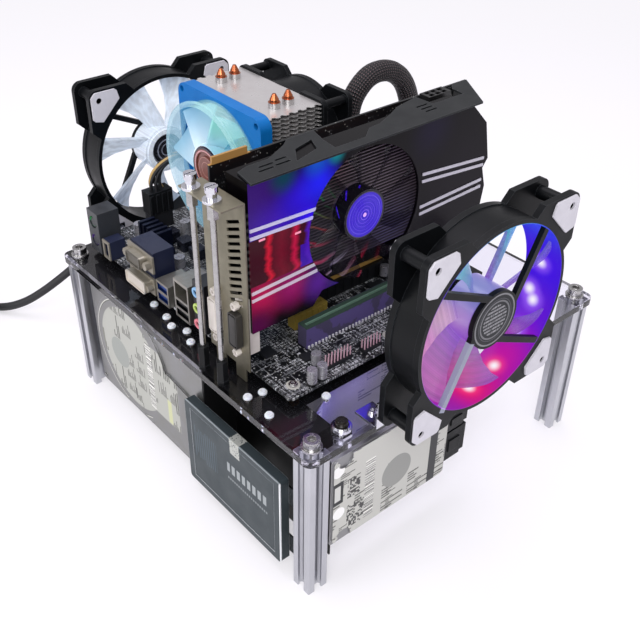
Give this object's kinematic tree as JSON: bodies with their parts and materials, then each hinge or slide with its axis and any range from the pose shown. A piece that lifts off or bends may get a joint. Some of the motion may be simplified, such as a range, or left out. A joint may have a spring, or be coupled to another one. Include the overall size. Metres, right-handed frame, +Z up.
{
  "type": "open air test bench",
  "caption": "Open test bench: clear deck on slotted aluminium legs carrying a bare computer with cooler, graphics card and case fans, drives and power supply hung below.",
  "frame": {"origin": "on the table, in the middle of the four legs", "axes": "+X along the front edge to the right, +Y from the front fan to the rear fan, +Z up"},
  "size_m": [0.4065, 0.5082, 0.2496],
  "materials": {
    "clear_acrylic": "clear cast acrylic sheet with polished pale edges",
    "leg_aluminium": "extruded aluminium with a fine drawn grain",
    "bright_steel": "bright zinc-plated steel",
    "bright_chrome": "polished chrome plating",
    "yellow_brass": "turned brass",
    "copper": "bare copper pipe",
    "white_nylon": "white nylon",
    "board_black": "black solder mask with white markings",
    "port_metal": "tinned sheet steel shell",
    "port_black": "black moulded plastic",
    "slot_plastic": "moulded plastic sockets",
    "module_green": "green circuit board with black chips",
    "can_metal": "aluminium can with a dark mark",
    "fin_aluminium": "bare aluminium fins",
    "dark_aluminium": "dark anodised aluminium",
    "blue_plastic": "glossy blue plastic",
    "milky_plastic": "translucent milky plastic lit from the hub",
    "fan_black": "fine-textured black plastic",
    "bracket_steel": "warm nickel-plated sheet steel",
    "shroud_gloss": "black glossy plastic with bright lines",
    "grey_painted": "grey painted sheet",
    "black_painted": "black powder-coated steel",
    "smoky_plastic": "smoky translucent plastic",
    "white_rubber": "white rubber",
    "drive_metal": "satin drive cover and casting",
    "slate_aluminium": "dark slate brushed finish",
    "sleeve_fabric": "braided black sleeve",
    "cord_rubber": "black cord jacket"
  },
  "bodies": {
    "bench": {"deck": "clear_acrylic", "leg_front_left": "leg_aluminium", "leg_front_right": "leg_aluminium", "leg_rear_left": "leg_aluminium", "leg_rear_right": "leg_aluminium", "leg_bolts": "bright_chrome", "standoffs": "yellow_brass", "board_screws": "bright_steel", "deck_screws": "white_nylon", "power_button_body": "bright_chrome", "drive_plugs": "port_black", "card_pipe": "copper", "motherboard": "board_black", "ps2_port": "port_black", "video_ports": "port_metal", "usb_lan_ports": "port_metal", "audio_jacks": "port_black", "board_slots": "slot_plastic", "memory_module": "module_green", "board_sockets": "port_black", "capacitors": "can_metal", "board_heatsinks": "dark_aluminium", "cooler_base": "fin_aluminium", "heat_pipes": "copper", "cooler_fins": "fin_aluminium", "cooler_fan_frame": "blue_plastic", "cooler_fan_ring": "milky_plastic", "pull_fan_frame": "fan_black", "card_board": "board_black", "card_bracket": "bracket_steel", "card_heatsink": "dark_aluminium", "card_shroud": "shroud_gloss", "card_stiffener": "grey_painted", "card_ports": "slot_plastic", "post_bases": "black_painted", "post_rods": "bright_steel", "thumb_screws": "bright_chrome", "rear_fan_frame": "fan_black", "front_fan_frame": "fan_black", "fan_pads": "white_rubber", "fan_brackets": "bright_steel", "left_drive": "drive_metal", "inner_drive": "drive_metal", "ssd": "slate_aluminium", "front_drive": "drive_metal", "drive_brackets": "bright_steel", "psu_case": "black_painted", "psu_bracket": "black_painted", "power_cables": "sleeve_fabric", "mains_cord": "cord_rubber", "cord_coil": "cord_rubber", "mains_plug": "cord_rubber"},
    "front_fan": {"front_fan_rotor": "milky_plastic"},
    "rear_fan": {"rear_fan_rotor": "milky_plastic"},
    "cooler_fan": {"cooler_fan_rotor": "milky_plastic"},
    "pull_fan": {"pull_fan_rotor": "fan_black"},
    "card_fan": {"card_fan_rotor": "smoky_plastic"},
    "psu_fan": {"psu_fan_rotor": "fan_black"},
    "power_button": {"power_button_cap": "bright_chrome"},
    "rocker": {"psu_switch": "port_black"}
  },
  "joints": [
    {"name": "front_fan_spin", "type": "hinge", "parent": "bench", "child": "front_fan", "pos_m": [-0.0223, -0.1585, 0.179], "axis": [0, 1, 0], "continuous": true},
    {"name": "rear_fan_spin", "type": "hinge", "parent": "bench", "child": "rear_fan", "pos_m": [-0.0284, 0.1605, 0.1665], "axis": [0, 1, 0], "continuous": true},
    {"name": "cooler_fan_spin", "type": "hinge", "parent": "bench", "child": "cooler_fan", "pos_m": [-0.049, 0.05, 0.1958], "axis": [1, 0, 0], "continuous": true},
    {"name": "pull_fan_spin", "type": "hinge", "parent": "bench", "child": "pull_fan", "pos_m": [0.0165, 0.05, 0.1958], "axis": [1, 0, 0], "continuous": true},
    {"name": "card_fan_spin", "type": "hinge", "parent": "bench", "child": "card_fan", "pos_m": [-0.0205, -0.0578, 0.1976], "axis": [0, 1, 0], "continuous": true},
    {"name": "psu_fan_spin", "type": "hinge", "parent": "bench", "child": "psu_fan", "pos_m": [-0.01, 0.067, 0.0362], "axis": [0, 0, 1], "continuous": true},
    {"name": "power_button_press", "type": "slide", "parent": "bench", "child": "power_button", "axis": [0, 0, -1], "range_m": [0, 0.0015], "stiffness_N_per_m": 800, "springref_m": -0.001},
    {"name": "rocker_tilt", "type": "hinge", "parent": "bench", "child": "rocker", "pos_m": [-0.038, 0.1333, 0.06], "axis": [1, 0, 0], "range_deg": [-14, 0]}
  ]
}
